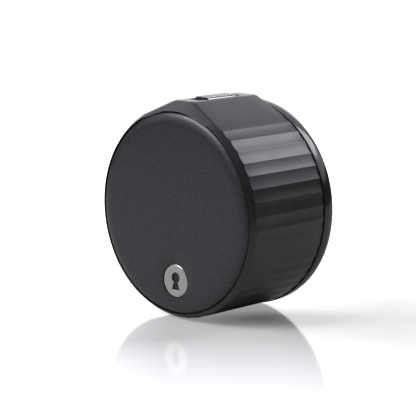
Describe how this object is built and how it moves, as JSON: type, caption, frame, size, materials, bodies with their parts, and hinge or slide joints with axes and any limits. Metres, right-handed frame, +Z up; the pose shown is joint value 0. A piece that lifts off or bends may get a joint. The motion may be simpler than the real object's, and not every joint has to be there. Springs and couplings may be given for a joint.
{
  "type": "smart deadbolt lock",
  "caption": "Round interior unit of a motorised deadbolt: a fluted body turned like a knob on a fixed door ring, with a flat magnetic cover and a flush lever.",
  "frame": {"origin": "centre of the rear face, on the turning axis, where the mounting plate meets the door", "axes": "+Z up, +Y into the door along the turning axis, so the front faces -Y; +X to the right of a person facing the door"},
  "size_m": [0.0702, 0.0407, 0.0722],
  "materials": {
    "anodised": "satin dark anodised",
    "cover_paint": "matte fine-grain powder coat",
    "emblem_silver": "satin",
    "steel": "brushed",
    "brass": "machined",
    "acetal": "moulded",
    "dark_plastic": "moulded",
    "circuit_board": "solder mask",
    "cell_wrap": "shrink sleeve over a steel can"
  },
  "bodies": {
    "base": {"mounting_plate": "steel", "base_ring": "anodised", "base_plate": "dark_plastic", "base_screw_1": "steel", "base_screw_2": "steel", "base_screw_3": "steel", "ring_gear": "acetal", "glide_ring": "acetal", "hub_bushing": "brass"},
    "rotor": {"outer_shell": "anodised", "chassis": "dark_plastic", "shell_screw_1": "steel", "shell_screw_2": "steel", "shell_screw_3": "steel", "gearbox_plate": "steel", "plate_post_1": "brass", "plate_post_2": "brass", "plate_post_3": "brass", "first_gear_shaft": "steel", "second_gear_shaft": "steel", "tail_coupler": "acetal", "coupler_clip": "steel", "battery_tray": "dark_plastic", "battery_1": "cell_wrap", "battery_2": "cell_wrap", "contact_spring_1": "steel", "contact_spring_2": "steel", "contact_plate_1": "brass", "contact_plate_2": "brass", "tray_screw_1": "steel", "tray_screw_2": "steel", "tray_screw_3": "steel", "main_board": "circuit_board", "antenna_board": "circuit_board", "speaker": "dark_plastic", "motor": "steel", "catch_disc_1": "steel", "catch_disc_2": "steel", "catch_disc_3": "steel", "catch_disc_4": "steel", "lever_pin": "steel"},
    "second_gear": {"second_gear": "acetal"},
    "first_gear": {"first_gear": "acetal"},
    "motor_pinion": {"motor_pinion": "brass"},
    "setup_button": {"setup_button": "acetal"},
    "cover": {"faceplate": "cover_paint", "emblem": "emblem_silver", "cover_magnet_1": "steel", "cover_magnet_2": "steel", "cover_magnet_3": "steel", "cover_magnet_4": "steel"},
    "release_lever": {"release_lever": "anodised"}
  },
  "joints": [
    {"name": "knob_turn", "type": "hinge", "parent": "base", "child": "rotor", "pos_m": [0, 0, 0], "axis": [0, -1, 0], "continuous": true},
    {"name": "second_gear_spin", "type": "hinge", "parent": "rotor", "child": "second_gear", "pos_m": [0.0089, -0.009, -0.01968], "axis": [0, -1, 0], "continuous": true},
    {"name": "first_gear_spin", "type": "hinge", "parent": "rotor", "child": "first_gear", "pos_m": [0.0172, -0.012, -0.0102], "axis": [0, -1, 0], "continuous": true},
    {"name": "motor_spin", "type": "hinge", "parent": "rotor", "child": "motor_pinion", "pos_m": [0.0246, -0.0135, 0], "axis": [0, -1, 0], "continuous": true},
    {"name": "cover_lift", "type": "slide", "parent": "rotor", "child": "cover", "axis": [0, -1, 0], "range_m": [0, 0.012]},
    {"name": "lever_lift", "type": "hinge", "parent": "rotor", "child": "release_lever", "pos_m": [0, -0.0133, 0.0353], "axis": [-1, 0, 0], "range_deg": [0, 60]},
    {"name": "button_press", "type": "slide", "parent": "rotor", "child": "setup_button", "axis": [0, 1, 0], "range_m": [0, 0.0006], "stiffness_N_per_m": 400}
  ],
  "couplings": [
    {"joint": "second_gear_spin", "follows": "knob_turn", "ratio": -5.5},
    {"joint": "first_gear_spin", "follows": "knob_turn", "ratio": 13.75},
    {"joint": "motor_spin", "follows": "knob_turn", "ratio": -34.375}
  ]
}
